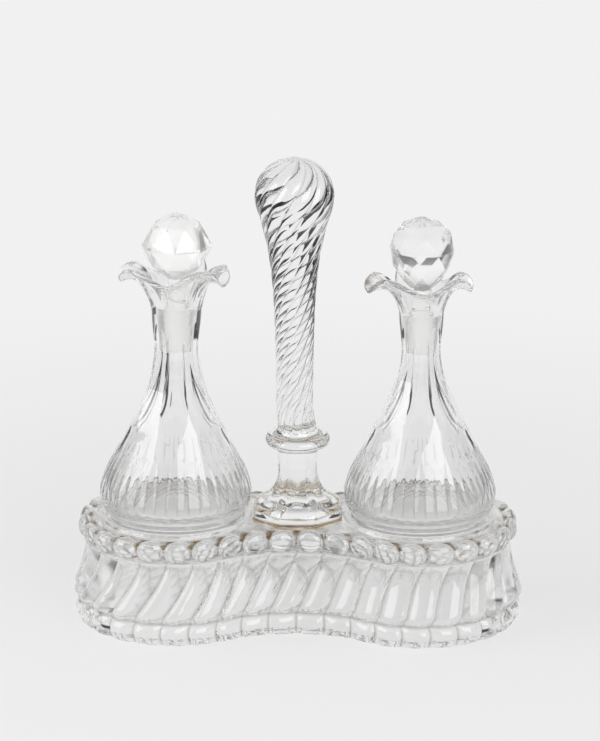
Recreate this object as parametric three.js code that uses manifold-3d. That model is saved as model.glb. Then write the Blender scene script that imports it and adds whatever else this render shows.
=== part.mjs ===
// Crystal cruet set: a pressed glass stand with a twisted pillar handle, and two cruets with
// ground-in stoppers. Millimetres, +Z up; the stand rests on z = 0 and the handle is on the Z axis.
import * as THREE from 'three';
import { mergeVertices } from 'three/addons/utils/BufferGeometryUtils.js';
import { ConvexGeometry } from 'three/addons/geometries/ConvexGeometry.js';
import Module from 'manifold-3d';

const wasm = await Module();
wasm.setup();

// ---- driving dimensions ----
const TURN = 2 * Math.PI;

// Stand plan: two round lobes joined by a hollow waist
const LOBE_X = 57.2; // centre of each lobe and of each cruet
const LOBE_RADIUS = 47.4; // at the foot
const WAIST_HALF_DEPTH = 30.3; // at the foot
const REPEATS = 40; // beads, gadroons and foot scallops
const STEPS_PER_REPEAT = 4; // facets across one repeat

// Stand levels
const FOOT_BAND_TOP = 10;
const GADROON_TOP = 38;
const BEAD_CENTRE_Z = 45;
const BEAD_HALF_HEIGHT = 5.2;
const BEAD_HALF_DEPTH = 3.3;
const BEAD_INSET = 4.8; // bead centres, inside the foot outline
const PLATE_TOP = 49;
const CAVITY_TOP = 40;

// Wells for the cruets, each inside a raised round ring
const WELL_FLOOR = 46;
const WELL_RADIUS = 32;
const WELL_MOUTH_RADIUS = 33;
const RING_RADIUS = 34.4;
const RING_HALF_WIDTH = 1.2;
const RING_TOP = 50.8;

// Handle
const PEG_RADIUS = 6;
const PEG_CLEARANCE = 0.4;
const PEG_BOTTOM = 45.5;
const SOCKET_FLOOR = 45;
const CEMENT_THICKNESS = 0.5;
const FOOT_BOTTOM = PLATE_TOP + CEMENT_THICKNESS;
const FOOT_APOTHEM = 20.9; // half the width across the flats of the octagonal foot
const CEMENT_APOTHEM = 21;
const COLLAR_Z = 86.7;
const COLLAR_RADIUS = 12.2;
const COLLAR_TUBE = 2.85;
const RIB_COUNT = 12;
const HANDLE_SEGMENTS = 48;
const SHAFT_OFFSET = -1.5; // the twisted shaft stands a little to one side of its collar
const FLARE_HOLLOW = 1.2; // depth of the eight hollows cut up the foot's flare

// Cruets
const BASE_THICKNESS = 7;
const FLOOR_RADIUS = 24; // flat middle of a cruet's inside floor
const LEAN_START = 61; // a cruet leans, if at all, above its widest level
const BELLY_WALL = 2.3;
const SHOULDER_WALL = 2.9;
const NECK_PANELS = 8;
const CRUET_SEGMENTS = 40;
const PLUG_BOTTOM = 130;
const PLUG_BOTTOM_RADIUS = 4.9;
const PLUG_TOP_RADIUS = 6;
const PLUG_CLEARANCE = 0.25;
const FLARE_START = 149.4; // where the neck begins to open into the lip
const LIP_THICKNESS = 1.9; // height of the inside of the lip above its outside
const LIP_INSET = 0.7;

// Lip: three petals that rise from the rim's valleys, arch outwards and roll down at their tips
const LIP_VALLEY_Z = 159.5;
const LIP_VALLEY_RADIUS = 14.5;
const LIP_CREST_PHASE = Math.PI / 3.4; // where a petal begins to roll, either side of its tip
const PETAL_REACH = 6.8;
const PETAL_HEIGHT = 8.6;
const ARCH_BELOW_VALLEY = 4.5;
const ARCH_HEIGHT = 11.5;
const ROLL_ANGLE = 2.2; // radians, at a petal's tip
const ROLL_REACH = 4.3;
const ROLL_DROP = 4;

const CRUETS = [
  {
    side: 'left',
    x: -LOBE_X,
    lean: 0.013, // sideways per millimetre of height, as the hand-finished neck was drawn
    neckChange: 0,
    lipRise: 3,
    // where each petal's tip is, in degrees, and how its reach and height differ
    petals: [[82, 0, -3], [181, 1, -2.2], [323, 3, 0.3]],
    stopper: {
      plugTop: 151.5,
      shankRadius: 4.3,
      turn: 0,
      sides: 8,
      rings: [[164.6, 4.2], [171.2, 12.3], [180.2, 16.4], [190.7, 10.8], [195, 3]],
    },
  },
  {
    side: 'right',
    x: LOBE_X,
    lean: 0,
    neckChange: -1.2,
    lipRise: 0,
    petals: [[98, 0, -3], [202, 1.4, -1.2], [354, -2.2, -2.4]],
    stopper: {
      plugTop: 148.5,
      shankRadius: 4.8,
      turn: 0.14,
      sides: 8,
      rings: [
        [160, 4.6], [165, 9.4], [171.5, 13.4], [179.2, 15.2], [186.6, 13.4], [191.8, 8.6],
        [194.8, 0.6],
      ],
    },
  },
];

// ---- materials ----
function glass(name, colour, roughness) {
  return new THREE.MeshStandardMaterial({ name, color: colour, roughness, metalness: 0 });
}
const CRYSTAL = glass('crystal', 0xeef1f0, 0.05);
const GROUND_CRYSTAL = glass('ground_crystal', 0xe6e8e6, 0.35);
const CEMENT = glass('cement', 0xb79a6c, 0.8);

// ---- small helpers ----
function smoothStep(from, to, value) {
  const t = Math.min(1, Math.max(0, (value - from) / (to - from)));
  return t * t * (3 - 2 * t);
}

// Straight-line interpolation in a list of [position, value] pairs
function along(pairs, position) {
  let index = 1;
  while (index < pairs.length - 1 && position > pairs[index][0]) {
    index += 1;
  }
  const [x0, y0] = pairs[index - 1];
  const [x1, y1] = pairs[index];
  const t = Math.min(1, Math.max(0, (position - x0) / (x1 - x0)));
  return y0 + (y1 - y0) * t;
}

// Closed body from a stack of rings with equal point counts, capped by fans at both ends
function loft(rings) {
  const count = rings[0].length;
  const points = rings.flat();
  const index = [];
  for (let level = 0; level < rings.length - 1; level += 1) {
    for (let i = 0; i < count; i += 1) {
      const a = level * count + i;
      const b = level * count + ((i + 1) % count);
      index.push(a, b, b + count);
      index.push(a, b + count, a + count);
    }
  }
  const ends = [rings[0], rings[rings.length - 1]];
  for (const [end, ring] of ends.entries()) {
    const centre = ring.reduce((sum, p) => sum.add(p), new THREE.Vector3());
    centre.divideScalar(count);
    const hub = points.push(centre) - 1;
    const first = end === 0 ? 0 : (rings.length - 1) * count;
    for (let i = 0; i < count; i += 1) {
      const a = first + i;
      const b = first + ((i + 1) % count);
      index.push(...(end === 0 ? [b, a, hub] : [a, b, hub]));
    }
  }
  const geometry = new THREE.BufferGeometry().setFromPoints(points);
  geometry.setIndex(index);
  return geometry;
}

function toSolid(geometry) {
  const bare = geometry.clone();
  bare.deleteAttribute('normal');
  bare.deleteAttribute('uv');
  const merged = mergeVertices(bare, 1e-4);
  const vertProperties = new Float32Array(merged.attributes.position.array);
  const triVerts = new Uint32Array(merged.index.array);
  return new wasm.Manifold(new wasm.Mesh({ numProp: 3, vertProperties, triVerts }));
}

function fromSolid(solid) {
  const mesh = solid.getMesh();
  const geometry = new THREE.BufferGeometry();
  geometry.setAttribute('position', new THREE.BufferAttribute(mesh.vertProperties, 3));
  geometry.setIndex(new THREE.BufferAttribute(mesh.triVerts, 1));
  return geometry;
}

// Turned body about Z from [radius, z] pairs that start and end on the axis or close on themselves
function turned(profile, segments, x = 0) {
  const outline = profile.map(([radius, z]) => new THREE.Vector2(radius, z));
  const geometry = new THREE.LatheGeometry(outline, segments);
  geometry.rotateX(Math.PI / 2);
  geometry.translate(x, 0, 0);
  return geometry;
}

function circle(radius, z, segments) {
  const ring = [];
  for (let i = 0; i < segments; i += 1) {
    const angle = (TURN * i) / segments;
    ring.push(new THREE.Vector3(radius * Math.cos(angle), radius * Math.sin(angle), z));
  }
  return ring;
}

// Radius of a regular polygon at an angle, with flats facing the X and Y axes
function polygonRadius(apothem, sides, angle) {
  const slice = TURN / sides;
  const fromFlat = angle - slice * Math.round(angle / slice);
  return apothem / Math.cos(fromFlat);
}

// ---- stand ----
// Radius of the hollow waist arc that is tangent to both lobes
function waistArcRadius() {
  const sum = LOBE_X ** 2 + WAIST_HALF_DEPTH ** 2 - LOBE_RADIUS ** 2;
  return sum / (2 * (LOBE_RADIUS - WAIST_HALF_DEPTH));
}

const WAIST_RADIUS = waistArcRadius();
const WAIST_CENTRE_Y = WAIST_HALF_DEPTH + WAIST_RADIUS;
const WAIST_HALF_ANGLE = Math.atan2(LOBE_X, WAIST_CENTRE_Y);

// Point of the plan outline, moved out by offset. Share runs from 0 to 1 anticlockwise from
// the middle of the front, in proportion to the length of that same moved outline.
function planPoint(share, offset) {
  const lobeRadius = LOBE_RADIUS + offset;
  const waistRadius = WAIST_RADIUS - offset;
  const halfWaist = waistRadius * WAIST_HALF_ANGLE;
  const lobeAngle = Math.PI / 2 + WAIST_HALF_ANGLE;
  const lobe = 2 * lobeRadius * lobeAngle;
  const half = 2 * halfWaist + lobe;
  const wrapped = ((share % 1) + 1) % 1;
  const secondHalf = wrapped >= 0.5;
  const distance = (secondHalf ? wrapped - 0.5 : wrapped) * 2 * half;
  let x;
  let y;
  if (distance < halfWaist) {
    const angle = distance / waistRadius;
    x = waistRadius * Math.sin(angle);
    y = waistRadius * Math.cos(angle) - WAIST_CENTRE_Y;
  } else if (distance < halfWaist + lobe) {
    const angle = (distance - halfWaist) / lobeRadius - lobeAngle;
    x = LOBE_X + lobeRadius * Math.cos(angle);
    y = lobeRadius * Math.sin(angle);
  } else {
    const angle = (half - distance) / waistRadius;
    x = waistRadius * Math.sin(angle);
    y = WAIST_CENTRE_Y - waistRadius * Math.cos(angle);
  }
  return secondHalf ? new THREE.Vector2(-x, -y) : new THREE.Vector2(x, y);
}

// One ring of the stand. Section gives offset and height for a place across one repeat,
// and shift is how far the repeats have slanted sideways at this level.
function standRing(shift, section) {
  const ring = [];
  for (let i = 0; i < REPEATS * STEPS_PER_REPEAT; i += 1) {
    const repeat = i / STEPS_PER_REPEAT;
    const { offset, z } = section(repeat - Math.floor(repeat));
    const point = planPoint((repeat + shift) / REPEATS, offset);
    ring.push(new THREE.Vector3(point.x, point.y, z));
  }
  return ring;
}

// Foot band of upright scallops: [z, offset of the crest, depth of the corner]
const FOOT_LEVELS = [
  [0, -1.8, 1.5], [1, -0.9, 2], [2.6, -0.1, 2.2], [5, 0.3, 2.3], [7.4, -0.2, 2.2], [9.1, -1.3, 1.9],
  [FOOT_BAND_TOP, -2.5, 1.6],
];

// Slanted gadroons, blunt below and fading into the neck above: the same three values
const GADROON_LEVELS = [
  [10.6, -1.6, 0.8], [11.6, 0.4, 2.8], [14, 1, 3.4], [20, -0.8, 3.6], [29, -3.5, 3],
  [GADROON_TOP, -4.9, 0.9],
];

function waistedWall() {
  const rings = [];
  for (const [z, crest, depth] of [...FOOT_LEVELS, ...GADROON_LEVELS]) {
    const rise = (z - FOOT_BAND_TOP) / (GADROON_TOP - FOOT_BAND_TOP);
    rings.push(standRing(Math.max(0, rise), (place) => {
      return { offset: crest - depth * Math.abs(2 * place - 1) ** 2.4, z };
    }));
  }
  return rings;
}

// Row of beads: each ring passes round every bead at one angle of its cross-section
function beadRow() {
  const rings = [];
  for (const angle of [-60, -20, 20, 60, 105]) {
    const radians = THREE.MathUtils.degToRad(angle);
    rings.push(standRing(1, (place) => {
      const fullness = 0.5 + 0.5 * Math.sqrt(1 - (2 * place - 1) ** 2);
      return {
        offset: -BEAD_INSET - 1 + fullness + BEAD_HALF_DEPTH * fullness * Math.cos(radians),
        z: BEAD_CENTRE_Z + BEAD_HALF_HEIGHT * fullness * Math.sin(radians),
      };
    }));
  }
  rings.push(standRing(1, () => ({ offset: -BEAD_INSET - BEAD_HALF_DEPTH - 0.4, z: PLATE_TOP })));
  return rings;
}

// Hollow underside, open at the bottom: height and offset of its wall
const CAVITY_LEVELS = [
  [-1, -5.3], [1.4, -5.4], [3.2, -6.5], [8, -6.9], [30, -9.5], [37, -11], [CAVITY_TOP, -14],
];

function undersideCavity() {
  return loft(CAVITY_LEVELS.map(([z, offset]) => {
    const ring = [];
    for (let i = 0; i < REPEATS * 2; i += 1) {
      const point = planPoint(i / (REPEATS * 2), offset);
      ring.push(new THREE.Vector3(point.x, point.y, z));
    }
    return ring;
  }));
}

function wellRing(x) {
  const half = RING_HALF_WIDTH;
  return turned([
    [RING_RADIUS - half - 1, WELL_FLOOR + 1], [RING_RADIUS + half + 0.4, WELL_FLOOR + 1],
    [RING_RADIUS + half + 0.4, PLATE_TOP], [RING_RADIUS + half, RING_TOP - 0.7],
    [RING_RADIUS + half / 2, RING_TOP - 0.1], [RING_RADIUS - half / 2, RING_TOP],
    [RING_RADIUS - half - 1, RING_TOP - 0.4], [RING_RADIUS - half - 1, WELL_FLOOR + 1],
  ], 48, x);
}

function wellCut(x) {
  return turned([
    [0, WELL_FLOOR], [WELL_RADIUS - 1.5, WELL_FLOOR], [WELL_RADIUS, WELL_FLOOR + 1],
    [WELL_MOUTH_RADIUS, RING_TOP - 0.6], [WELL_MOUTH_RADIUS, RING_TOP + 1], [0, RING_TOP + 1],
  ], 48, x);
}

function handleSocket() {
  const radius = PEG_RADIUS + PEG_CLEARANCE;
  return turned([[0, SOCKET_FLOOR], [radius, SOCKET_FLOOR], [radius, RING_TOP], [0, RING_TOP]], 32);
}

function standTray() {
  let solid = toSolid(loft([...waistedWall(), ...beadRow()]));
  for (const { x } of CRUETS) {
    solid = solid.add(toSolid(wellRing(x)));
  }
  for (const { x } of CRUETS) {
    solid = solid.subtract(toSolid(wellCut(x)));
  }
  solid = solid.subtract(toSolid(handleSocket()));
  solid = solid.subtract(toSolid(undersideCavity()));
  return fromSolid(solid);
}

// ---- handle ----
// Height, half width across the flats: octagonal foot, hollow flare and panelled shaft
const FOOT_PROFILE = [
  [FOOT_BOTTOM, 20.6], [50.6, FOOT_APOTHEM], [54, FOOT_APOTHEM], [56.4, 18.9], [57.4, 17],
  [59, 14], [61.5, 11.8], [65.5, 10], [71, 9.1], [77, 9.1], [82, 9.6],
];

// Height, radius over the ribs, depth of the grooves, twist in degrees
const SHAFT_PROFILE = [
  [92.5, 9, 0.3, 0], [100, 8.8, 0.6, 13], [109, 8.75, 0.66, 36], [118, 8.8, 0.66, 62],
  [127, 8.9, 0.66, 90], [136, 9.1, 0.72, 121], [145, 9.35, 0.72, 154], [155, 9.8, 0.78, 186],
  [165, 10.6, 0.84, 219], [175, 11.8, 0.9, 247], [185, 13.8, 1.02, 271], [193, 15.9, 1.08, 289],
  [199, 17.7, 1.14, 301], [205, 18.5, 1.2, 313], [211, 17.2, 1.2, 325], [216, 14, 1.02, 337],
  [219.8, 9.4, 0.72, 350], [222.3, 1.6, 0.18, 366],
];

function handlePillar() {
  const rings = [];
  const ring = (z, radiusAt, twist = 0) => {
    const aside = SHAFT_OFFSET * smoothStep(88, 104, z);
    const points = [];
    for (let i = 0; i < HANDLE_SEGMENTS; i += 1) {
      const angle = (TURN * i) / HANDLE_SEGMENTS;
      const radius = radiusAt(angle);
      const turnedBy = angle + THREE.MathUtils.degToRad(twist);
      const x = radius * Math.cos(turnedBy) + aside;
      points.push(new THREE.Vector3(x, radius * Math.sin(turnedBy), z));
    }
    rings.push(points);
  };
  ring(PEG_BOTTOM, () => PEG_RADIUS);
  ring(FOOT_BOTTOM, () => PEG_RADIUS);
  for (const [z, apothem] of FOOT_PROFILE) {
    const hollow = FLARE_HOLLOW * smoothStep(57.2, 59.5, z) * smoothStep(70, 61, z);
    ring(z, (angle) => {
      return polygonRadius(apothem, 8, angle) - hollow * (0.5 + 0.5 * Math.cos(8 * angle));
    });
  }
  for (const degrees of [-65, -22, 22, 65]) {
    const radians = THREE.MathUtils.degToRad(degrees);
    const radius = COLLAR_RADIUS + COLLAR_TUBE * Math.cos(radians);
    ring(COLLAR_Z + COLLAR_TUBE * Math.sin(radians), () => radius);
  }
  for (const [z, crest, groove, twist] of SHAFT_PROFILE) {
    ring(z, (angle) => {
      const rib = (RIB_COUNT * angle) / TURN;
      const acrossRib = 2 * Math.abs(rib - Math.round(rib));
      return crest - groove * acrossRib ** 2.3;
    }, twist);
  }
  return loft(rings);
}

function handleCement() {
  const octagon = (z) => circle(1, z, HANDLE_SEGMENTS).map((point, i) => {
    const radius = polygonRadius(CEMENT_APOTHEM, 8, (TURN * i) / HANDLE_SEGMENTS);
    return new THREE.Vector3(point.x * radius, point.y * radius, z);
  });
  const bed = toSolid(loft([octagon(PLATE_TOP), octagon(FOOT_BOTTOM)]));
  return fromSolid(bed.subtract(toSolid(handleSocket())));
}

// ---- cruets ----
// Height, outer radius from the seat to the start of the lip
const CRUET_PROFILE = [
  [WELL_FLOOR, 27], [47.6, 30], [50, 31.4], [53.5, 33.5], [57.5, 35.1], [61.5, 35.6], [66, 34.8],
  [72, 32.6], [80.3, 28.4], [88.4, 24], [96.5, 20], [104.7, 16.8], [112.8, 14], [121, 12.2],
  [131, 11], [FLARE_START, 11.6],
];

function leanAt(cruet, z) {
  return cruet.lean * Math.max(0, z - LEAN_START);
}

function outerRadius(cruet, z) {
  return along(CRUET_PROFILE, z) + cruet.neckChange * smoothStep(100, 125, z);
}

// How far the neck has turned from round to panelled at a height
function panelShare(z) {
  return smoothStep(84, 100, z) * (1 - smoothStep(128, FLARE_START, z));
}

function panelledRadius(radius, share, angle) {
  const apothem = radius * Math.cos(Math.PI / NECK_PANELS);
  return radius + share * (polygonRadius(apothem, NECK_PANELS, angle) - radius);
}

// Place on the lip at an angle: the phase is 0 in the middle of a petal, half a turn in the next
// valley and 0 again in the next petal; reach and height are those of the nearest petal
function petalAt(cruet, angle) {
  const degrees = THREE.MathUtils.euclideanModulo(THREE.MathUtils.radToDeg(angle), 360);
  const first = cruet.petals[0];
  const stops = [...cruet.petals, [first[0] + 360, first[1], first[2]]];
  const wrapped = degrees < first[0] ? degrees + 360 : degrees;
  const index = Math.max(0, stops.findIndex(([tip]) => tip > wrapped) - 1);
  const share = (wrapped - stops[index][0]) / (stops[index + 1][0] - stops[index][0]);
  const [, reach, height] = share < 0.5 ? stops[index] : stops[index + 1];
  return { phase: Math.PI * (1 - Math.abs(1 - 2 * share)), reach, height };
}

// Lip wall at an angle, from the neck (t = 0) to the rim (t = 1)
function lipPoint(cruet, angle, t, startRadius, startZ, lift, inset) {
  const { phase, reach, height } = petalAt(cruet, angle);
  const petal = smoothStep(Math.PI, LIP_CREST_PHASE, phase);
  const tip = smoothStep(LIP_CREST_PHASE, 0, phase);
  const roll = ROLL_ANGLE * tip;
  const valleyZ = LIP_VALLEY_Z + cruet.lipRise + lift;
  const petalRadius = LIP_VALLEY_RADIUS + (PETAL_REACH + reach) * petal;
  const rimRadius = petalRadius + ROLL_REACH * Math.sin(roll) - inset;
  const rimZ = valleyZ + (PETAL_HEIGHT + height) * petal - ROLL_DROP * (1 - Math.cos(roll));
  const archZ = valleyZ - ARCH_BELOW_VALLEY + (ARCH_HEIGHT + height) * petal + tip;
  const archRadius = startRadius + 0.3 * (rimRadius - startRadius);
  const bezier = (a, b, c) => a * (1 - t) ** 2 + 2 * b * t * (1 - t) + c * t ** 2;
  return {
    radius: bezier(startRadius, archRadius, rimRadius),
    z: bezier(startZ, archZ, rimZ),
  };
}

function plugRadius(cruet, z) {
  const share = (z - PLUG_BOTTOM) / (cruet.stopper.plugTop - PLUG_BOTTOM);
  return PLUG_BOTTOM_RADIUS + share * (PLUG_TOP_RADIUS - PLUG_BOTTOM_RADIUS);
}

// Inside of a cruet: the bore widens gently into the shoulder, and the belly follows the outside
function innerRadius(cruet, z) {
  const throat = plugRadius(cruet, PLUG_BOTTOM) + PLUG_CLEARANCE;
  const wall = BELLY_WALL + (SHOULDER_WALL - BELLY_WALL) * smoothStep(90, 110, z);
  const belly = Math.max(outerRadius(cruet, z) - wall, throat);
  return throat + (belly - throat) * smoothStep(132, 92, z);
}

function cruetBody(cruet) {
  const rings = [];
  const ring = (pointAt) => {
    rings.push(circle(1, 0, CRUET_SEGMENTS).map((unit, i) => {
      const { radius, z } = pointAt((TURN * i) / CRUET_SEGMENTS);
      return new THREE.Vector3(unit.x * radius + leanAt(cruet, z), unit.y * radius, z);
    }));
  };
  // Outside, seat to rim
  for (const [z] of CRUET_PROFILE) {
    const radius = outerRadius(cruet, z);
    ring((angle) => ({ radius: panelledRadius(radius, panelShare(z), angle), z }));
  }
  const neck = outerRadius(cruet, FLARE_START);
  for (const t of [0.3, 0.6, 0.85, 1]) {
    ring((angle) => lipPoint(cruet, angle, t, neck, FLARE_START, 0, 0));
  }
  // Inside, rim to floor
  const boreTop = cruet.stopper.plugTop;
  const bore = plugRadius(cruet, boreTop) + PLUG_CLEARANCE;
  for (const t of [1, 0.75, 0.45, 0.2, 0]) {
    ring((angle) => lipPoint(cruet, angle, t, bore, boreTop, LIP_THICKNESS, LIP_INSET));
  }
  ring(() => ({ radius: plugRadius(cruet, PLUG_BOTTOM) + PLUG_CLEARANCE, z: PLUG_BOTTOM }));
  for (const z of [124, 116, 108, 100, 92, 84, 76, 70, 64]) {
    const radius = innerRadius(cruet, z);
    ring(() => ({ radius, z }));
  }
  // the rounded corner between the wall and the thick floor
  const floor = WELL_FLOOR + BASE_THICKNESS;
  for (const [outwards, up] of [[8.8, 7], [7, 3.5], [4, 1.2], [0, 0]]) {
    ring(() => ({ radius: FLOOR_RADIUS + outwards, z: floor + up }));
  }
  return loft(rings);
}

// ---- stoppers ----
// Cut knob: rings of points, turned half a side from one to the next, with flat facets between
function cutKnob(cruet) {
  const { sides, rings, turn } = cruet.stopper;
  const points = [];
  for (const [index, [z, radius]] of rings.entries()) {
    for (let i = 0; i < sides; i += 1) {
      const angle = (TURN * (i + (index % 2) / 2)) / sides + turn;
      const x = radius * Math.cos(angle) + leanAt(cruet, z);
      points.push(new THREE.Vector3(x, radius * Math.sin(angle), z));
    }
  }
  return new ConvexGeometry(points);
}

function stopperBody(cruet) {
  const { stopper } = cruet;
  const knobBottom = stopper.rings[0][0];
  const stem = loft([
    [PLUG_BOTTOM_RADIUS - 0.5, PLUG_BOTTOM], [PLUG_BOTTOM_RADIUS, PLUG_BOTTOM + 0.8],
    [PLUG_TOP_RADIUS, stopper.plugTop], [PLUG_TOP_RADIUS - 0.7, stopper.plugTop + 0.8],
    [stopper.shankRadius, stopper.plugTop + 3], [stopper.shankRadius, knobBottom],
    [stopper.shankRadius - 0.6, knobBottom + 2],
  ].map(([radius, z]) => {
    const points = circle(radius, z, CRUET_SEGMENTS);
    return points.map((point) => point.setX(point.x + leanAt(cruet, z)));
  }));
  return fromSolid(toSolid(stem).add(toSolid(cutKnob(cruet))));
}

// ---- assembly ----
const cruetSet = new THREE.Group();

function addPiece(name, geometry, material, x = 0) {
  const mesh = new THREE.Mesh(geometry, material);
  mesh.name = name;
  mesh.position.set(x, 0, 0);
  cruetSet.add(mesh);
}

addPiece('stand_tray', standTray(), CRYSTAL);
addPiece('handle_cement', handleCement(), CEMENT);
addPiece('handle_pillar', handlePillar(), CRYSTAL);
for (const cruet of CRUETS) {
  addPiece(`cruet_${cruet.side}`, cruetBody(cruet), CRYSTAL, cruet.x);
  addPiece(`stopper_${cruet.side}`, stopperBody(cruet), GROUND_CRYSTAL, cruet.x);
}

export default cruetSet;
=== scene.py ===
"""Looks of a crystal cruet set: a pressed glass stand with a twisted pillar handle, and two cruets
with ground-in stoppers. Lengths in the tables are millimetres, and every mesh is made in metres."""

import math

import bmesh
import bpy
import numpy as np
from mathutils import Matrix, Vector


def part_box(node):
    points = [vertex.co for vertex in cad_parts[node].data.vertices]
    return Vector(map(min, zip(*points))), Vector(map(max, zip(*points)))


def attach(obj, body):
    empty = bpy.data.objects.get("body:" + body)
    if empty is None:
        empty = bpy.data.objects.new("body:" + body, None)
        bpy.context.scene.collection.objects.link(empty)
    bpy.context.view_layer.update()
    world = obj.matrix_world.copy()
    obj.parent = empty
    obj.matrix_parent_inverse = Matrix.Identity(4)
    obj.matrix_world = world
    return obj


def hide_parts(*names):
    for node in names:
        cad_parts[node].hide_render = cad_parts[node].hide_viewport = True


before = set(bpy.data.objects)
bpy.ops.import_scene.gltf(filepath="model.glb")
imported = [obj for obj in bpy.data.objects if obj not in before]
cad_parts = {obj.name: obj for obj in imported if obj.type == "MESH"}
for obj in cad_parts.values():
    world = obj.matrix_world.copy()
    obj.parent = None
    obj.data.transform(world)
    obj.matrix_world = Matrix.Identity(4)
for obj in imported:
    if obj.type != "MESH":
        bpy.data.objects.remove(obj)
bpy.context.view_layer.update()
scene = bpy.context.scene

MM = 0.001
TURN = 2 * math.pi

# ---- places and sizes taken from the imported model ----
cruet_boxes = {side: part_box("cruet_" + side) for side in ("left", "right")}
stand_low, stand_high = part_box("stand_tray")
FOOT_Z = stand_low.z / MM
HANDLE_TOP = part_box("handle_pillar")[1].z / MM
CEMENT_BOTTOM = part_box("handle_cement")[0].z / MM
CEMENT_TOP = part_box("handle_cement")[1].z / MM
WELL_FLOOR = cruet_boxes["right"][0].z / MM
LOBE_X = (cruet_boxes["right"][0].x + cruet_boxes["right"][1].x) / 2 / MM

# ---- stand: the plan is two lobes joined by a hollow waist ----
LOBE_RADIUS = 47.4
WAIST_HALF_DEPTH = 30.3
WAIST_RADIUS = (LOBE_X ** 2 + WAIST_HALF_DEPTH ** 2 - LOBE_RADIUS ** 2) / (
    2 * (LOBE_RADIUS - WAIST_HALF_DEPTH)
)
WAIST_CENTRE_Y = WAIST_HALF_DEPTH + WAIST_RADIUS
WAIST_HALF_ANGLE = math.atan2(LOBE_X, WAIST_CENTRE_Y)
REPEATS = 40
STEPS = 24  # points round each repeat
BAND_TOP = 10.0
GADROON_TOP = 38.0
BEAD_Z = 45.0
BEAD_HALF_HEIGHT = 5.2
BEAD_HALF_DEPTH = 3.3
BEAD_INSET = 4.8
BEAD_START, BEAD_END, BEAD_RINGS = -72, 128, 26  # degrees round its section, outwards from underneath
GAP_FULLNESS = 0.14  # how much of the string is left between two beads
PLATE_TOP = CEMENT_BOTTOM
RING_TOP = stand_high.z / MM
SOCKET_RADIUS = 6.4
# height, how far the crests stand out from the plan, depth of the hollows between them
FOOT_LEVELS = [
    (0, -1.8, 1.5), (1, -0.9, 2), (2.6, -0.1, 2.2), (5, 0.3, 2.3), (7.4, -0.2, 2.2),
    (9.1, -1.3, 1.9), (BAND_TOP, -2.5, 1.6),
]
FOOT_HEIGHTS = [
    0, 0.25, 0.5, 0.8, 1.2, 1.7, 2.4, 3.2, 4, 5, 6, 6.8, 7.6, 8.2, 8.7, 9.2, 9.6, BAND_TOP,
]
GADROON_LEVELS = [
    (10.3, 0.4, 2.6), (14, 1, 3.4), (20, -0.8, 3.6), (29, -3.5, 3), (36.5, -4.7, 1.6),
    (GADROON_TOP, -4.9, 0.9),
]
GADROON_HEIGHTS = np.concatenate([np.linspace(10.3, 15, 16), np.linspace(15.8, GADROON_TOP, 36)])
# a groove, a fine ridge and another groove part the gadroons from the beads: height, offset
GROOVE_LEVELS = [(38.5, -6.1), (39.0, -6.0), (39.4, -5.1), (39.8, -4.8), (40.2, -5.1), (40.5, -5.8)]
# hollow underside: height above the foot, offset of its wall from the plan
CAVITY_LEVELS = [
    (-1, -5.3), (1.4, -5.4), (3.2, -6.5), (8, -6.9), (30, -9.5), (37, -11), (39.2, -12.4), (40, -15),
]
CAVITY_HEIGHTS = np.concatenate([
    np.linspace(-1, 6, 15), np.linspace(7, 36, 24), np.linspace(36.6, 40, 10)])
CLEAR_RIM_TOP = 9.0  # the cavity's wall is as clear as the outside up to here
CEILING_START = 39.0
# residue on the highest rings of the beads and the edge of the plate, by the ring's number
BEHIND_BEADS = {24: 0.6, 25: 0.9, 26: 1.0, 27: 1.0, 28: 0.6}

# ---- cruets ----
# height, outer radius
CRUET_PROFILE = [
    (46, 27), (47.4, 29.9), (48.8, 31.1), (50, 31.4), (51.2, 31.9), (53.5, 33.5), (57.5, 35.1),
    (61.5, 35.6), (66, 34.8), (72, 32.6), (80.3, 28.4), (88.4, 24), (96.5, 20), (104.7, 16.8),
    (112.8, 14), (121, 12.2), (131, 11), (149.4, 11.6),
]
FLUTES = 42
PANELS = 8
AROUND = 336  # points round a cruet: whole numbers in each flute and each half panel
FLARE_START = 149.4
LEAN_START = 61.0
OUTSIDE_HEIGHTS = np.concatenate([
    [46.5, 47.1, 48, 49, 50], np.linspace(50.6, 86, 60), np.linspace(86.7, 112, 44),
    np.linspace(113, FLARE_START, 40)])
INSIDE_HEIGHTS = np.concatenate([[129.4, 128.6, 127.4, 126], np.linspace(124, 62, 54)])
BELLY_WALL, NECK_WALL_EXTRA = 2.3, 0.6
# shallow hollow under the base: radius, height above the well's floor
BASE_HOLLOW = [(20, 0.7), (23.5, 0.6), (24.6, 0.3), (25.4, 0.06), (26.2, 0.02), (27.2, 0.1)]
# inside, from the belly's wall round the corner and over the floor: radius, height
FLOOR_CORNER = [
    (33.2, 61), (33, 60), (32.4, 58.5), (31.4, 57), (29.9, 55.5), (28, 54.3), (26, 53.5),
    (24, 53.1), (21, 53), (12, 52.95),
]
PLUG_BOTTOM = 130.0
PLUG_BOTTOM_RADIUS, PLUG_WIDENING = 4.9, 1.1
PLUG_GAP = 0.25

# lip: the part of a petal's phase that its crest takes, and the rim's reach, height and roll there
CREST_PHASE = math.pi / 3.4
RIM_RADIUS, RIM_Z = 14.5, 159.5
PETAL_REACH, PETAL_HEIGHT = 6.8, 8.6
ARCH_Z, ARCH_HEIGHT = 155.0, 11.5
TIP_ROLL, ROLL_REACH, ROLL_DROP = 2.2, 4.3, 4.0
LIP_THICKNESS, LIP_INSET, LIP_SWELL = 1.9, 0.7, 0.75
LIP_STEPS = 30

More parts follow.
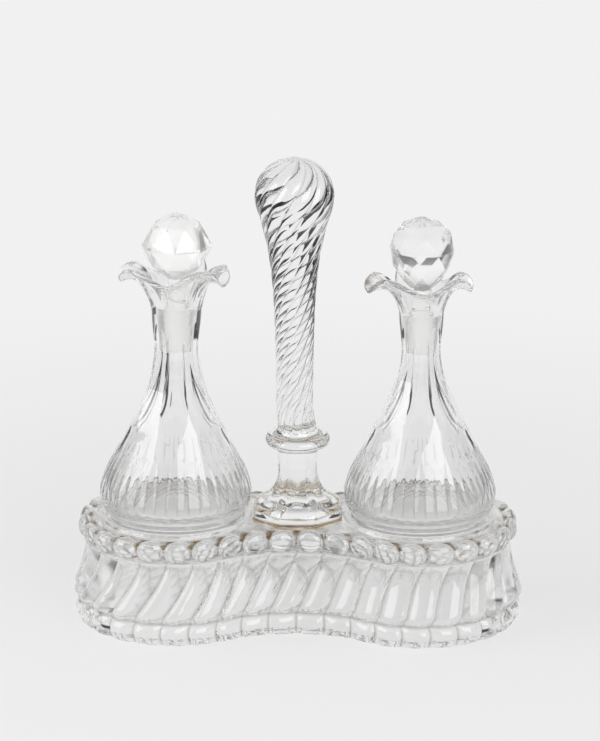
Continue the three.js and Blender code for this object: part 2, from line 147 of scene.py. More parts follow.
# lean: sideways for each millimetre of height; neck, rise: how the neck's radius and the lip's
# height differ; petals: direction in degrees, and how its reach and height differ; knob: height and
# radius of each ring of corners; tip_residue: residue on the petal at the left
CRUETS = {
    "left": {
        "lean": 0.013, "neck": 0.0, "rise": 3.0, "tip_residue": 0,
        "petals": ((82, 0, -3), (181, 1, -2.2), (323, 3, 0.3)),
        "plug_top": 151.5, "shank": 4.3, "turn": 0.0,
        "knob": [(164.6, 4.2), (171.2, 12.3), (180.2, 16.4), (190.7, 10.8), (195, 3)],
    },
    "right": {
        "lean": 0.0, "neck": -1.2, "rise": 0.0, "tip_residue": 1,
        "petals": ((98, 0, -3), (202, 1.4, -1.2), (354, -2.2, -2.4)),
        "plug_top": 148.5, "shank": 4.8, "turn": 0.14,
        "knob": [
            (160, 4.6), (165, 9.4), (171.5, 13.4), (179.2, 15.2), (186.6, 13.4), (191.8, 8.6),
            (194.8, 0.6),
        ],
    },
}
KNOB_SIDES = 8
KNOB_EDGE = 0.22  # how much its sharp edges are softened
STEM_AROUND = 96

# ---- handle ----
HANDLE_AROUND = 264
RIBS = 12
PEG_RADIUS = 6.0
SHAFT_ASIDE = -1.5  # the drawn shaft stands a little to the left of its foot
# height, radius
FOOT_PROFILE = [
    (49.5, 20.5), (49.9, 20.85), (53.6, 20.9), (54.6, 20.4), (56.4, 18.9), (57.4, 17), (59, 14),
    (61.5, 11.8), (65.5, 10), (71, 9.1), (77, 9.1), (82, 9.6), (84.2, 11.4),
]
COLLAR_Z, COLLAR_RADIUS, COLLAR_TUBE = 86.7, 12.2, 2.85
COLLAR_HOLLOW = [(89.6, 12.6), (89.75, 11.6), (90.0, 10.6), (90.6, 9.8), (91.4, 9.4)]
# height, radius over the ribs, depth of the grooves, twist in degrees
SHAFT_PROFILE = [
    (92.5, 9, 0.45, 0), (100, 8.8, 0.8, 13), (109, 8.75, 0.85, 36), (118, 8.8, 0.85, 62),
    (127, 8.9, 0.8, 90), (136, 9.1, 0.75, 121), (145, 9.35, 0.7, 154), (155, 9.8, 0.68, 186),
    (165, 10.6, 0.7, 219), (175, 11.8, 0.75, 247), (185, 13.8, 0.85, 271), (193, 15.9, 0.95, 289),
    (199, 17.7, 1.05, 301), (205, 18.5, 1.1, 313), (211, 17.2, 1.1, 325), (216, 14, 1.0, 337),
    (219.8, 9.4, 0.72, 350), (222.3, 1.6, 0.18, 366),
]

# ---- cement under the handle's foot ----
CEMENT_AROUND = 192
CEMENT_RADIUS = 20.72
# heights above its underside: the foot's glass, 0.5 up, has settled on the outer part
CEMENT_TOUCHING, CEMENT_CLEAR, CEMENT_UNDERSIDE = 0.53, 0.45, 0.03
# section of its edge: how far out, height
CEMENT_EDGE = [
    (0.0, CEMENT_UNDERSIDE), (0.12, 0.16), (0.15, 0.25), (0.12, 0.34), (0.0, CEMENT_TOUCHING),
]


# ---- numbers ----
def smooth_step(start, end, value):
    t = np.clip((np.asarray(value, float) - start) / (end - start), 0, 1)
    return t * t * (3 - 2 * t)


def curve(points, column, at):
    """Smooth curve through a table's column, which never overshoots its points."""
    x = np.array([p[0] for p in points], float)
    y = np.array([p[column] for p in points], float)
    step = np.diff(y) / np.diff(x)
    slope = np.zeros_like(y)
    same = step[1:] * step[:-1] > 0
    inner = np.zeros(len(step) - 1)
    inner[same] = 2 * step[1:][same] * step[:-1][same] / (step[1:][same] + step[:-1][same])
    slope[1:-1] = inner
    slope[0], slope[-1] = step[0], step[-1]
    at = np.clip(np.asarray(at, float), x[0], x[-1])
    i = np.clip(np.searchsorted(x, at, "right") - 1, 0, len(x) - 2)
    h = x[i + 1] - x[i]
    t = (at - x[i]) / h
    return (
        (1 + 2 * t) * (1 - t) ** 2 * y[i] + t * (1 - t) ** 2 * h * slope[i]
        + t * t * (3 - 2 * t) * y[i + 1] + t * t * (t - 1) * h * slope[i + 1]
    )


# ---- meshes ----
def mesh_object(name, points, faces, sharp=30.0):
    mesh = bpy.data.meshes.new(name)
    mesh.from_pydata((np.asarray(points) * MM).tolist(), [], faces)
    mesh.shade_smooth()
    mesh.set_sharp_from_angle(angle=math.radians(sharp))
    made = bpy.data.objects.new(name, mesh)
    scene.collection.objects.link(made)
    return made


def loft(name, rings, sharp=30.0):
    """Closed body from rings with equal point counts, capped flat at both ends."""
    rings = np.asarray(rings, float)
    levels, count = rings.shape[:2]
    here = np.arange(count)
    beside = (here + 1) % count
    faces = []
    for level in range(levels - 1):
        low, high = level * count, (level + 1) * count
        quads = np.stack([low + here, low + beside, high + beside, high + here], 1)
        faces.extend(quads.tolist())
    faces.append(here[::-1].tolist())
    faces.append(((levels - 1) * count + here).tolist())
    return mesh_object(name, rings.reshape(-1, 3), faces, sharp)


def round_loft(name, profile, count, x=0.0, sharp=30.0):
    """Turned body about the vertical line at x, from (radius, height) pairs, bottom to top."""
    angle = TURN * np.arange(count) / count
    rings = [
        np.stack([x + r * np.cos(angle), r * np.sin(angle), np.full(count, z)], 1)
        for r, z in profile
    ]
    return loft(name, rings, sharp)


def combine(body, tool, operation, sharp=30.0):
    """Joins tool to body or cuts it away, and removes the tool."""
    modifier = body.modifiers.new(operation, "BOOLEAN")
    modifier.operation = operation
    modifier.solver = "MANIFOLD"
    modifier.object = tool
    graph = bpy.context.evaluated_depsgraph_get()
    made = bpy.data.meshes.new_from_object(body.evaluated_get(graph))
    body.modifiers.clear()
    body.data = made
    made.shade_smooth()
    made.set_sharp_from_angle(angle=math.radians(sharp))
    bpy.data.objects.remove(tool)
    return body


def coordinates(piece):
    """A mesh's points in millimetres, one row each."""
    found = np.zeros(len(piece.data.vertices) * 3)
    piece.data.vertices.foreach_get("co", found)
    return found.reshape(-1, 3) / MM


def store_residue_or_shade(piece, values, name="residue"):
    """Stores a value from 0 to 1 for each point: how much residue is on it, or how much painted shade
    darkens it."""
    layer = piece.data.attributes.new(name, "FLOAT", "POINT")
    layer.data.foreach_set("value", np.clip(values, 0, 1).astype(np.float32))


# ---- stand ----
def plan_point(share, offset):
    """Points of the plan outline moved out by offset, share 0 to 1 from the front's middle."""
    share, offset = np.broadcast_arrays(np.asarray(share, float) % 1, offset)
    lobe_radius = LOBE_RADIUS + offset
    waist_radius = WAIST_RADIUS - offset
    lobe_angle = math.pi / 2 + WAIST_HALF_ANGLE
    half_waist = waist_radius * WAIST_HALF_ANGLE
    lobe = 2 * lobe_radius * lobe_angle
    half = 2 * half_waist + lobe
    distance = (share % 0.5) * 2 * half
    side = np.where(share >= 0.5, -1.0, 1.0)
    first = distance / waist_radius
    middle = (distance - half_waist) / lobe_radius - lobe_angle
    last = (half - distance) / waist_radius
    on_first = distance < half_waist
    on_lobe = distance < half_waist + lobe
    x = np.where(on_first, waist_radius * np.sin(first), np.where(
        on_lobe, LOBE_X + lobe_radius * np.cos(middle), waist_radius * np.sin(last)))
    y = np.where(on_first, waist_radius * np.cos(first) - WAIST_CENTRE_Y, np.where(
        on_lobe, lobe_radius * np.sin(middle), WAIST_CENTRE_Y - waist_radius * np.cos(last)))
    return side * x, side * y


def stand_ring(shift, offset, z):
    """One ring of the stand; offset and z are numbers or hold one value for each point."""
    repeat = np.arange(REPEATS * STEPS) / STEPS
    x, y = plan_point((repeat + shift) / REPEATS, offset)
    return np.stack([x, y, np.broadcast_to(z, x.shape)], 1)


def across_repeat():
    """Place across each repeat, from -1 to 1, of every point round the stand."""
    return 2 * ((np.arange(REPEATS * STEPS) / STEPS) % 1) - 1


def stand_wall():
    """Rings of the scalloped foot band, the slanted gadroons and the grooves over them."""
    u = np.abs(across_repeat())
    rings = []
    for z in FOOT_HEIGHTS:
        crest = curve(FOOT_LEVELS, 1, z)
        depth = curve(FOOT_LEVELS, 2, z)
        rings.append(stand_ring(0, crest - depth * u ** 2.6, FOOT_Z + z))
    for z in GADROON_HEIGHTS:
        crest = curve(GADROON_LEVELS, 1, z)
        depth = curve(GADROON_LEVELS, 2, z)
        rise = (z - BAND_TOP) / (GADROON_TOP - BAND_TOP)
        # each gadroon starts as a point at its foot, and widens quickly to a full repeat
        foot = np.clip((z - 10.2) / 4.4, 0, 1)
        width = math.sqrt(1 - (1 - foot) ** 2)
        bulge = depth * width ** 0.7 * (1 - np.minimum(1, u / width) ** 2.4)
        rings.append(stand_ring(rise, crest - depth + bulge, z))
    wave = 0.35 * np.cos(math.pi * u)
    for z, offset in GROOVE_LEVELS:
        rings.append(stand_ring(1, offset, z - wave * (z - GADROON_TOP) / 2.5))
    return rings


def bead_rings():
    """Rings from under the beads, over their outside and tops, to the edge of the plate."""
    u = across_repeat()
    fullness = GAP_FULLNESS + (1 - GAP_FULLNESS) * np.sqrt(np.maximum(0, 1 - u * u))
    rings = []
    for degrees in np.linspace(BEAD_START, BEAD_END, BEAD_RINGS):
        angle = math.radians(degrees)
        centre = -BEAD_INSET - 1 + fullness
        offset = centre + BEAD_HALF_DEPTH * fullness * math.cos(angle)
        rings.append(stand_ring(1, offset, BEAD_Z + BEAD_HALF_HEIGHT * fullness * math.sin(angle)))
    edge = -BEAD_INSET - BEAD_HALF_DEPTH
    rings.append(stand_ring(1, edge + 0.2, PLATE_TOP - 0.9))
    rings.append(stand_ring(1, edge - 0.3, PLATE_TOP - 0.2))
    rings.append(stand_ring(1, edge - 0.6, PLATE_TOP))
    return rings


def underside_cavity():
    rings = []
    share = np.arange(480) / 480
    for z in CAVITY_HEIGHTS:
        x, y = plan_point(share, curve(CAVITY_LEVELS, 1, z))
        rings.append(np.stack([x, y, np.full(x.shape, FOOT_Z + z)], 1))
    cavity = loft("cavity", rings)
    for polygon in cavity.data.polygons:
        height = polygon.center.z / MM
        polygon.material_index = 0 if height < CLEAR_RIM_TOP else 1 if height < CEILING_START else 2
    return cavity


def painted_crevice_shade(wall, beads):
    """Painted shade for each point of the stand's outside, ring by ring: dark lines between the foot's
    scallops and along the band's top, between the gadroons and at their feet, in the groove over them,
    along the beads' lower edges and between the beads.
    """
    u = np.abs(across_repeat())
    found = []
    for ring in wall:
        z = ring[0, 2]
        if z < BAND_TOP + 0.2:
            at_top = 0.6 * smooth_step(9, BAND_TOP, z - FOOT_Z)
            found.append(np.maximum(0.8 * smooth_step(0.88, 1, u), at_top))
        elif z < GADROON_TOP + 0.3:
            at_foot = 0.8 * smooth_step(12, 10.2, z)
            found.append(np.maximum(0.7 * smooth_step(0.86, 1, u), at_foot))
        else:
            found.append(0 * u + 0.6 * (z > 40))
    for index in range(len(beads)):
        low = 0.9 * smooth_step(5, 0, index)
        gap = smooth_step(0.88, 1, u) * (index < 20)
        found.append(np.maximum(low, gap))
    return np.concatenate(found)


def residues(wall, beads):
    """Where old residue has settled: behind and between the beads, and at the gadroons' feet."""
    u = np.abs(across_repeat())
    found = []
    for ring in wall:
        z = ring[0, 2]
        found.append(0.35 * smooth_step(0.7, 1, u) * smooth_step(9, 9.8, z) * smooth_step(12, 11, z))
    near_gap = 0.45 + 0.55 * smooth_step(0.5, 0.85, u)
    in_gap = smooth_step(0.72, 0.86, u)
    for index in range(len(beads)):
        behind = BEHIND_BEADS.get(index, 0) * near_gap
        between = in_gap * (14 < index < 26)
        found.append(np.maximum(behind, between))
    return np.concatenate(found)


def well_ring(sign):
    return round_loft("ring", [
        (36.0, WELL_FLOOR + 1), (36.0, PLATE_TOP), (35.7, PLATE_TOP + 0.5), (35.55, RING_TOP - 0.7),
        (35.3, RING_TOP - 0.3), (34.9, RING_TOP - 0.08), (34.4, RING_TOP),
    ], 192, sign * LOBE_X)


def well(sign):
    return round_loft("well", [
        (30.5, WELL_FLOOR), (31.4, WELL_FLOOR + 0.25), (32, WELL_FLOOR + 1), (33, RING_TOP - 0.8),
        (33.2, RING_TOP - 0.4), (33.7, RING_TOP - 0.1), (34.2, RING_TOP), (34.4, RING_TOP + 2),
    ], 192, sign * LOBE_X)


def build_stand():
    wall, beads = stand_wall(), bead_rings()
    stand = loft("Stand", wall + beads)
    # painted shade in the creases, which greys the glass colour there
    store_residue_or_shade(stand, painted_crevice_shade(wall, beads), "painted_shade")
    store_residue_or_shade(stand, residues(wall, beads))
    slots = [material_stand, material_inner_shaded, material_ceiling]
    for material in slots:
        stand.data.materials.append(material)
    for sign in (-1, 1):
        combine(stand, well_ring(sign), "UNION")
    for sign in (-1, 1):
        combine(stand, well(sign), "DIFFERENCE")
    socket = round_loft("socket", [(SOCKET_RADIUS, 45), (SOCKET_RADIUS, RING_TOP + 1)], 96)
    combine(stand, socket, "DIFFERENCE")
    cavity = underside_cavity()
    for material in slots:
        cavity.data.materials.append(material)
    combine(stand, cavity, "DIFFERENCE")
    return stand


# ---- handle ----
def octagon_radius(angle):
    """Radius of an octagon with flats 1 from its middle."""
    slice_angle = TURN / 8
    return 1 / np.cos(angle - slice_angle * np.round(angle / slice_angle))


def build_handle():
    angle = TURN * np.arange(HANDLE_AROUND) / HANDLE_AROUND
    rings = []

    def ring(z, radius, twist=0.0):
        aside = SHAFT_ASIDE * smooth_step(88, 104, z)
        turned = angle + math.radians(twist)
        x = radius * np.cos(turned) + aside
        rings.append(np.stack([x, radius * np.sin(turned), np.full(HANDLE_AROUND, float(z))], 1))

    for z in (45.5, CEMENT_TOP):
        ring(z, PEG_RADIUS + 0 * angle)
    foot_heights = np.concatenate([
        [CEMENT_TOP, 49.7, 49.9, 52, 53.6, 54.1, 54.6, 55.5, 56.4, 57], np.linspace(57.4, 84.2, 60)])
    for z in foot_heights:
        # an octagon that turns round towards the collar, with each face of the flare scooped
        share = 1 - smooth_step(76, 83.5, z)
        sharpness = 0.4 + 0.5 * smooth_step(54, 59, z)
        shape = 1 + share * sharpness * (octagon_radius(angle) - 1)
        scoop = 1.2 * smooth_step(57.2, 59.5, z) * smooth_step(70, 61, z)
        ring(z, curve(FOOT_PROFILE, 1, z) * shape - scoop * (0.5 + 0.5 * np.cos(8 * angle)))
    for degrees in np.linspace(-58, 62, 24):
        radians = math.radians(degrees)
        radius = COLLAR_RADIUS + COLLAR_TUBE * math.cos(radians)
        ring(COLLAR_Z + COLLAR_TUBE * math.sin(radians), radius + 0 * angle)
    for z, radius in COLLAR_HOLLOW:
        ring(z, radius + 0 * angle)
    across = 2 * ((angle * RIBS / TURN + 0.5) % 1) - 1
    shaft_heights = np.concatenate([np.linspace(92.5, 205, 150), np.linspace(205.6, HANDLE_TOP, 40)])
    for z in shaft_heights:
        crest, groove, twist = (curve(SHAFT_PROFILE, column, z) for column in (1, 2, 3))
        ring(z, crest - groove * np.abs(across) ** 2.3, float(twist))
    handle = loft("Handle", rings, sharp=24)
    # painted shade: the grooves between the twisted ribs are greyed
    grooves = 0.5 * smooth_step(0.8, 1, np.abs(across))
    store_residue_or_shade(handle, np.concatenate([grooves * (ring[0, 2] > 92) for ring in rings]), "painted_shade")
    handle.data.materials.append(material_crystal)
    points = coordinates(handle)
    low = smooth_step(51.6, 49.5, points[:, 2])
    outside = smooth_step(14, 19, np.hypot(points[:, 0], points[:, 1]))
    store_residue_or_shade(handle, low * outside)
    return handle


def build_cement():
    """Flat setting bed with a ragged edge. Its outer part meets the foot's glass, and the rest is
    just clear of it."""
    angle = TURN * np.arange(CEMENT_AROUND) / CEMENT_AROUND
    wander = 0.12 * np.sin(7 * angle + 1) + 0.09 * np.sin(17 * angle) + 0.05 * np.sin(31 * angle + 2)
    outer = CEMENT_RADIUS * octagon_radius(angle) + wander
    inner = 6.5 + 0.2 * np.sin(5 * angle)
    section = [(outer + out, up) for out, up in CEMENT_EDGE]
    section += [
        (outer - 3.4, CEMENT_TOUCHING), (outer - 4.2, CEMENT_CLEAR), (inner, CEMENT_CLEAR),
        (inner, CEMENT_UNDERSIDE),
    ]
    rings = []
    for radius, up in section:
        z = np.full(CEMENT_AROUND, CEMENT_BOTTOM + up)
        rings.append(np.stack([radius * np.cos(angle), radius * np.sin(angle), z], 1))
    faces = []
    for level in range(len(rings)):
        low = level * CEMENT_AROUND
        high = (level + 1) % len(rings) * CEMENT_AROUND
        for here in range(CEMENT_AROUND):
            beside = (here + 1) % CEMENT_AROUND
            faces.append([low + here, low + beside, high + beside, high + here])
    cement = mesh_object("Cement", np.concatenate(rings), faces)
    cement.data.materials.append(material_cement)
    return cement


# ---- cruets ----
def centre_of(side):
    return -LOBE_X if side == "left" else LOBE_X


def lean_at(cruet, z):
    """How far a cruet's axis has gone sideways at a height."""
    return cruet["lean"] * np.maximum(0, z - LEAN_START)


def petal_at(petals, angle):
    """Phase of the lip, 0 at a petal's tip and pi in a valley, and that petal's extra reach and height."""
    places = [petal[0] for petal in petals]
    degrees = np.degrees(angle) % 360
    wrapped = np.where(degrees < places[0], degrees + 360, degrees)
    place = np.interp(wrapped, places + [places[0] + 360], range(len(places) + 1))
    nearest = np.round(place).astype(int) % len(petals)
    phase = math.pi * (1 - np.abs(1 - 2 * (place % 1)))
    return phase, np.array([p[1] for p in petals])[nearest], np.array([p[2] for p in petals])[nearest]


def lip_ring(cruet, angle, t, start_radius, start_z, lift=0.0, inset=0.0):
    """Radius and height of the flaring lip, for t from 0 at its start to 1 at its rim. The inside of
    the lip is lifted by the glass's thickness, and its rim is set in."""
    phase, reach, height = petal_at(cruet["petals"], angle)
    rise = cruet["rise"] + lift
    petal = smooth_step(math.pi, CREST_PHASE, phase)
    tip = smooth_step(CREST_PHASE, 0, phase)
    rim_radius = RIM_RADIUS + (PETAL_REACH + reach) * petal + ROLL_REACH * np.sin(tip * TIP_ROLL) - inset
    rim_z = RIM_Z + (PETAL_HEIGHT + height) * petal - ROLL_DROP * (1 - np.cos(tip * TIP_ROLL)) + rise
    arch_z = ARCH_Z + (ARCH_HEIGHT + height) * petal + tip + rise
    arch_radius = start_radius + 0.3 * (rim_radius - start_radius)
    weights = ((1 - t) ** 2, 2 * t * (1 - t), t * t)
    radius = weights[0] * start_radius + weights[1] * arch_radius + weights[2] * rim_radius
    return radius, weights[0] * start_z + weights[1] * arch_z + weights[2] * rim_z


def plug_radius(cruet, z):
    """The ground plug's taper."""
    return PLUG_BOTTOM_RADIUS + PLUG_WIDENING * (z - PLUG_BOTTOM) / (cruet["plug_top"] - PLUG_BOTTOM)


def outer_radius(cruet, z):
    """Outside of a cruet before it is cut."""
    return curve(CRUET_PROFILE, 1, z) + cruet["neck"] * smooth_step(100, 125, z)


def across_flute(angle):
    """Place across each belly flute, from -1 to 1."""
    return 2 * ((angle * FLUTES / TURN) % 1) - 1


def cut_radius(cruet, z, angle):
    """Outside of a cruet with its neck panels and belly flutes cut away."""
    radius = outer_radius(cruet, z)
    slice_angle = TURN / PANELS
    from_flat = angle - slice_angle * np.round(angle / slice_angle)
    cut = 0.082 * smooth_step(87, 107, z) * (1 - smooth_step(132, 148, z))
    panelled = np.minimum(radius, radius * (1 - cut) / np.cos(from_flat))
    depth = 0.46 * smooth_step(88, 66, z) * smooth_step(56.5, 66, z)
    return panelled - np.maximum(0, depth - 0.34 * across_flute(angle) ** 2)


def inner_radius(cruet, z):
    """Inside of a cruet, which narrows smoothly from the belly to the bore under the plug."""
    wall = BELLY_WALL + NECK_WALL_EXTRA * smooth_step(90, 110, z)
    throat = plug_radius(cruet, PLUG_BOTTOM) + PLUG_GAP
    belly = np.maximum(outer_radius(cruet, z) - wall, throat)
    return throat + (belly - throat) * smooth_step(132, 92, z)


def cruet_rings(cruet, centre, angle):
    """Rings from the base, up the outside, over the lip and down the inside to the floor, with each
    one's material slot (1 is ground glass) and, for the fluted and panelled outside, its height."""
    rings, slots, heights = [], [], []

    def ring(radius, z, slot=0, outside=None):
        z = np.broadcast_to(np.asarray(z, float), angle.shape)
        x = centre + radius * np.cos(angle) + lean_at(cruet, z)
        rings.append(np.stack([x, radius * np.sin(angle), z], 1))
        slots.append(slot)
        heights.append(outside)

    for radius, lift in BASE_HOLLOW:
        ring(radius + 0 * angle, WELL_FLOOR + lift, slot=1)
    for z in OUTSIDE_HEIGHTS:
        ring(cut_radius(cruet, z, angle), z, outside=z)
    neck = outer_radius(cruet, FLARE_START)
    for t in np.linspace(0, 1, LIP_STEPS)[1:]:
        ring(*lip_ring(cruet, angle, t, neck, FLARE_START))
    bore_top = cruet["plug_top"]
    bore = plug_radius(cruet, bore_top) + PLUG_GAP
    outer_rim = lip_ring(cruet, angle, 1, neck, FLARE_START)
    inner_rim = lip_ring(cruet, angle, 1, bore, bore_top, LIP_THICKNESS, LIP_INSET)
    for turn in range(15, 180, 15):
        share = 0.5 - 0.5 * math.cos(math.radians(turn))
        swell = LIP_SWELL * math.sin(math.radians(turn))
        radius = outer_rim[0] + (inner_rim[0] - outer_rim[0]) * share + swell
        ring(radius, outer_rim[1] + (inner_rim[1] - outer_rim[1]) * share)
    for t in np.linspace(1, 0, LIP_STEPS):
        ring(*lip_ring(cruet, angle, t, bore, bore_top, LIP_THICKNESS, LIP_INSET))
    for z in np.linspace(bore_top, PLUG_BOTTOM, 12)[1:]:
        ring(plug_radius(cruet, z) + PLUG_GAP + 0 * angle, z, slot=1)
    for z in INSIDE_HEIGHTS:
        ring(inner_radius(cruet, z) + 0 * angle, z)
    for radius, z in FLOOR_CORNER:
        ring(radius + 0 * angle, z)
    return rings, slots, heights


def cruet_painted_shade(heights, angle):
    """Painted shade for each point: dark lines on the flutes' ridges, and where the foot steps in."""
    ridge = np.abs(across_flute(angle)) > 0.95
    found = []
    for z in heights:
        if z is None:
            found.append(0 * angle)
            continue
        foot = 0.3 * math.exp(-((z - 50.4) / 0.5) ** 2) + 0.45 * smooth_step(47.6, 46.6, z)
        found.append(0.55 * ridge * smooth_step(84, 72, z) * smooth_step(58, 64, z) + foot)
    return np.concatenate(found)


def cruet_residue(cruet, centre, points):
    radius = np.hypot(points[:, 0] - centre, points[:, 1])
    foot = 0.5 * smooth_step(52, 49, points[:, 2]) * smooth_step(26, 30, radius)
    tip = smooth_step(22, 26, radius) * (points[:, 2] > 150) * (points[:, 0] < centre)
    return np.maximum(foot, cruet["tip_residue"] * tip)


def build_cruet(side):
    cruet = CRUETS[side]
    centre = centre_of(side)
    angle = TURN * np.arange(AROUND) / AROUND
    rings, slots, heights = cruet_rings(cruet, centre, angle)
    body = loft("Cruet_" + side, rings, sharp=17)
    # painted shade on the flutes' ridges and at the foot's step
    store_residue_or_shade(body, cruet_painted_shade(heights, angle), "painted_shade")
    body.data.materials.append(material_cruet)
    body.data.materials.append(material_ground)
    # each ring's faces lead up to it; the two last faces are the caps, under the base and on the floor
    indices = np.append(np.repeat(np.array(slots[1:]), AROUND), [1, 0])
    body.data.polygons.foreach_set("material_index", indices.astype(int).tolist())
    store_residue_or_shade(body, cruet_residue(cruet, centre, coordinates(body)))
    return body


# ---- stoppers ----
def cut_knob(name, cruet, centre):
    """Knob with flat facets between its rings of corners, and slightly softened edges."""
    made = bmesh.new()
    for index, (z, radius) in enumerate(cruet["knob"]):
        x = centre + lean_at(cruet, z)
        for i in range(KNOB_SIDES):
            angle = TURN * (i + (index % 2) / 2) / KNOB_SIDES + cruet["turn"]
            corner = (x + radius * math.cos(angle), radius * math.sin(angle), z)
            made.verts.new([place * MM for place in corner])
    bmesh.ops.convex_hull(made, input=made.verts)
    bmesh.ops.dissolve_limit(made, angle_limit=math.radians(1), verts=made.verts, edges=made.edges)
    bmesh.ops.bevel(
        made, geom=list(made.edges), offset=KNOB_EDGE * MM, segments=2, profile=0.5, affect="EDGES")
    bmesh.ops.recalc_face_normals(made, faces=made.faces)
    mesh = bpy.data.meshes.new(name)
    made.to_mesh(mesh)
    made.free()
    knob = bpy.data.objects.new(name, mesh)
    scene.collection.objects.link(knob)
    return knob


def stopper_stem(cruet, centre, materials):
    """Ground plug and clear shank, which ends inside the knob."""
    bottom = cruet["knob"][0][0]
    shank = cruet["shank"]
    top = cruet["plug_top"]
    profile = [
        (PLUG_BOTTOM_RADIUS - 0.8, PLUG_BOTTOM), (PLUG_BOTTOM_RADIUS - 0.3, PLUG_BOTTOM + 0.2),
        (PLUG_BOTTOM_RADIUS, PLUG_BOTTOM + 0.8),
    ]
    profile += [(plug_radius(cruet, z), z) for z in np.linspace(PLUG_BOTTOM + 1.5, top, 8)]
    ground = len(profile) - 1
    profile += [
        (5.85, top + 0.5), (5.4, top + 0.9), (shank + 0.3, top + 1.7), (shank + 0.05, top + 2.4),
        (shank, top + 3.2),
    ]
    profile += [(shank, z) for z in np.linspace(top + 4, bottom, 5)] + [(shank - 0.6, bottom + 2)]
    clear = len(profile) - 1 - ground
    angle = TURN * np.arange(STEM_AROUND) / STEM_AROUND
    rings = []
    for radius, z in profile:
        x = centre + lean_at(cruet, z) + radius * np.cos(angle)
        rings.append(np.stack([x, radius * np.sin(angle), np.full(STEM_AROUND, z)], 1))
    stem = loft("stem", rings)
    for material in materials:
        stem.data.materials.append(material)
    indices = [1] * (STEM_AROUND * ground) + [0] * (STEM_AROUND * clear) + [1, 0]
    stem.data.polygons.foreach_set("material_index", indices)
    return stem


def build_stopper(side):
    cruet = CRUETS[side]
    centre = centre_of(side)
    materials = [material_knob[side], material_ground]
    knob = cut_knob("Stopper_" + side, cruet, centre)
    for material in materials:
        knob.data.materials.append(material)
    return combine(knob, stopper_stem(cruet, centre, materials), "UNION", sharp=9)


# ---- materials ----
GLASS_IOR = 1.52
SHADOW_TINT = 0.9  # how much light the glass lets through to its shadow
# painted shade: grey that darkens the glass in its creases, grooves and flute ridges
PAINTED_SHADE_GREY = (0.24, 0.215, 0.185)
RESIDUE_BROWN = (0.13, 0.06, 0.015)


def new_material(name):
    material = bpy.data.materials.new(name)
    material.use_nodes = True
    material.node_tree.nodes.clear()
    return material, material.node_tree.nodes, material.node_tree.links


def add(nodes, kind, **inputs):
    node = nodes.new(kind)
    for key, value in inputs.items():
        node.inputs[key.replace("_", " ")].default_value = value
    return node


def calculate(nodes, links, operation, *values):
    """Result of a sum on sockets, any of which may be a number instead."""
    node = nodes.new("ShaderNodeMath")
    node.operation = operation
    for socket, value in zip(node.inputs, values):
        if isinstance(value, float):
            socket.default_value = value
        else:
            links.new(value, socket)
    return node.outputs[0]


def blend_colours(nodes, links, factor, first, second):
    """Blend of two colours, each a socket or red, green and blue."""
    node = nodes.new("ShaderNodeMix")
    node.data_type = "RGBA"
    links.new(factor, node.inputs["Factor"])
    for socket, value in ((node.inputs[6], first), (node.inputs[7], second)):
        if isinstance(value, tuple):
            socket.default_value = (*value, 1)
        else:
            links.new(value, socket)
    return node.outputs[2]


def blend_shaders(nodes, links, factor, first, second):
    node = nodes.new("ShaderNodeMixShader")
    links.new(factor, node.inputs[0])
    links.new(first.outputs[0], node.inputs[1])
    links.new(second.outputs[0], node.inputs[2])
    return node


def put_out(nodes, links, shader, kind="ShaderNodeOutputMaterial"):
    links.new(shader.outputs[0], nodes.new(kind).inputs["Surface"])


def ramp_between(nodes, links, value, start, end):
    step = add(nodes, "ShaderNodeMapRange", From_Min=start, From_Max=end)
    step.interpolation_type = "SMOOTHSTEP"
    links.new(value, step.inputs["Value"])
    return step.outputs[0]


def noise(nodes, links, place, scale, detail=2.0, roughness=0.5):
    node = add(nodes, "ShaderNodeTexNoise", Scale=scale, Detail=detail, Roughness=roughness)
    links.new(place.outputs["Object"], node.inputs["Vector"])
    return node.outputs["Fac"]


def distance_from_origin(nodes, links, place):
    length = nodes.new("ShaderNodeVectorMath")
    length.operation = "LENGTH"
    links.new(place.outputs["Object"], length.inputs[0])
    return length.outputs["Value"]


def attribute(nodes, name):
    node = nodes.new("ShaderNodeAttribute")
    node.attribute_name = name
    return node.outputs["Fac"]


def wavy_normal(nodes, links, place, height, scale):
    """Normal of a surface with waves of a height in millimetres, and finer ones on them."""
    broad = noise(nodes, links, place, scale)
    fine = calculate(nodes, links, "MULTIPLY", noise(nodes, links, place, scale * 4.3), 0.25)
    bump = add(nodes, "ShaderNodeBump", Strength=1.0, Distance=height * MM)
    links.new(calculate(nodes, links, "ADD", broad, fine), bump.inputs["Height"])
    return bump.outputs[0]


def shaded_and_stained_colour(nodes, links, place, colour, residue):
    """Glass colour darkened by painted shade in its creases, under patches of brown residue."""
    patches = add(
        nodes, "ShaderNodeMapRange", From_Min=0.32, From_Max=0.52, To_Min=0.0, To_Max=residue)
    links.new(noise(nodes, links, place, 160, 4.0, 0.65), patches.inputs["Value"])
    amount = calculate(nodes, links, "MULTIPLY", attribute(nodes, "residue"), patches.outputs[0])
    shadowed = blend_colours(nodes, links, attribute(nodes, "painted_shade"), colour, PAINTED_SHADE_GREY)
    return blend_colours(nodes, links, amount, shadowed, RESIDUE_BROWN)


